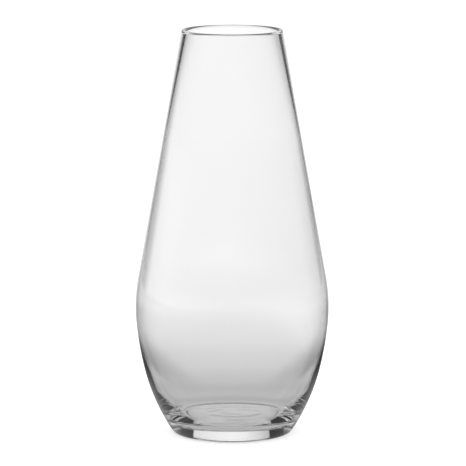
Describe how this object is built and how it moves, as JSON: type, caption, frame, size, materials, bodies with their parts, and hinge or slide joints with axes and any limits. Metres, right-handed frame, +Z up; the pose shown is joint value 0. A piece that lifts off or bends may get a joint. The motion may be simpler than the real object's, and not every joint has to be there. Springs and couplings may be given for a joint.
{
  "type": "flower vase",
  "caption": "Tall clear-glass flower vase with a full low belly, a conical neck closing in to a round mouth, and a heavy foot.",
  "frame": {"origin": "on the vase's axis, on the plane of the table it stands on", "axes": "+Z up along the vase's axis of revolution, from the foot to the mouth; X and Y lie in the table plane and are interchangeable"},
  "size_m": [0.191, 0.191, 0.4],
  "materials": {
    "clear_glass": "polished, clear and colourless"
  },
  "bodies": {
    "root": {"glass_body": "clear_glass"}
  },
  "joints": []
}
